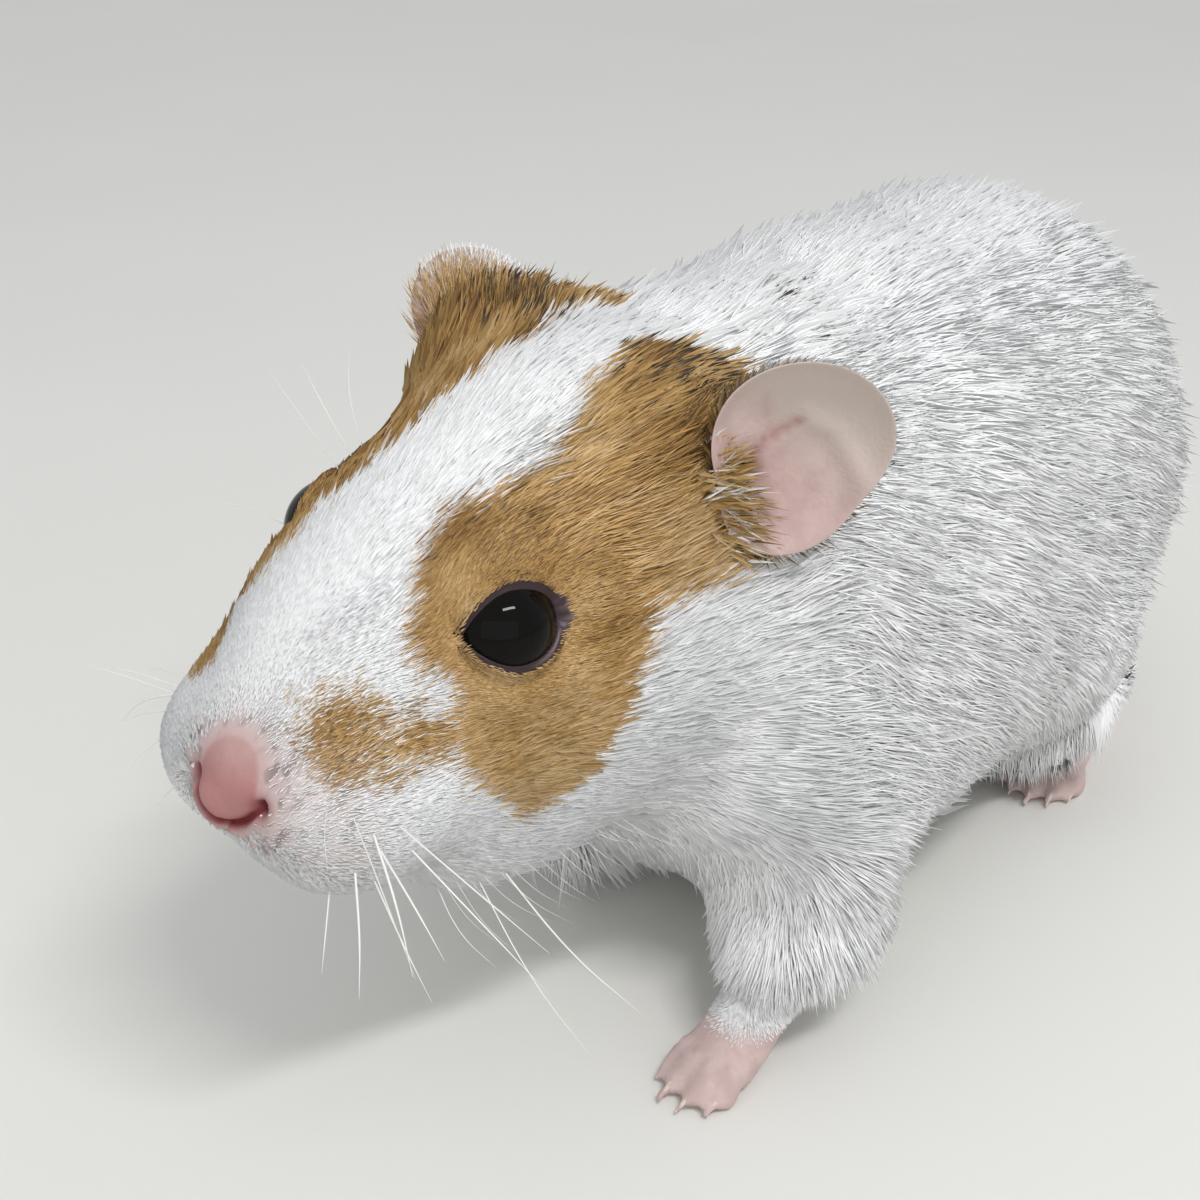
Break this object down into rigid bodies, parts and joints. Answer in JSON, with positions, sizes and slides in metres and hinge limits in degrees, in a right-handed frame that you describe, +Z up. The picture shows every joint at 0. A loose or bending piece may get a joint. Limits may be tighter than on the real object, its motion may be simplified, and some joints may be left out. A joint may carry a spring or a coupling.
{
  "type": "syrian hamster",
  "caption": "Young Syrian hamster, life size and standing in mid step, with its head held low and turned slightly to its right.",
  "frame": {"origin": "on the floor, under the middle of the whole animal", "axes": "+Z up, -Y the way the animal faces, +X the animal's own left"},
  "size_m": [0.0514, 0.1162, 0.0538],
  "materials": {
    "head_coat": "golden and white fur",
    "white_coat": "white fur",
    "bare_skin": "thinly haired pink skin",
    "nose_skin": "moist pink skin",
    "eye": "wet black"
  },
  "bodies": {
    "root": {"head": "head_coat", "neck": "white_coat", "trunk": "white_coat", "tail": "bare_skin", "nose": "nose_skin", "eye_left": "eye", "eye_right": "eye", "ear_left": "bare_skin", "ear_right": "bare_skin", "foreleg_left": "white_coat", "foreleg_right": "white_coat", "forefoot_left": "bare_skin", "forefoot_right": "bare_skin", "hindleg_left": "white_coat", "hindleg_right": "white_coat", "hindfoot_left": "bare_skin", "hindfoot_right": "bare_skin"}
  },
  "joints": []
}
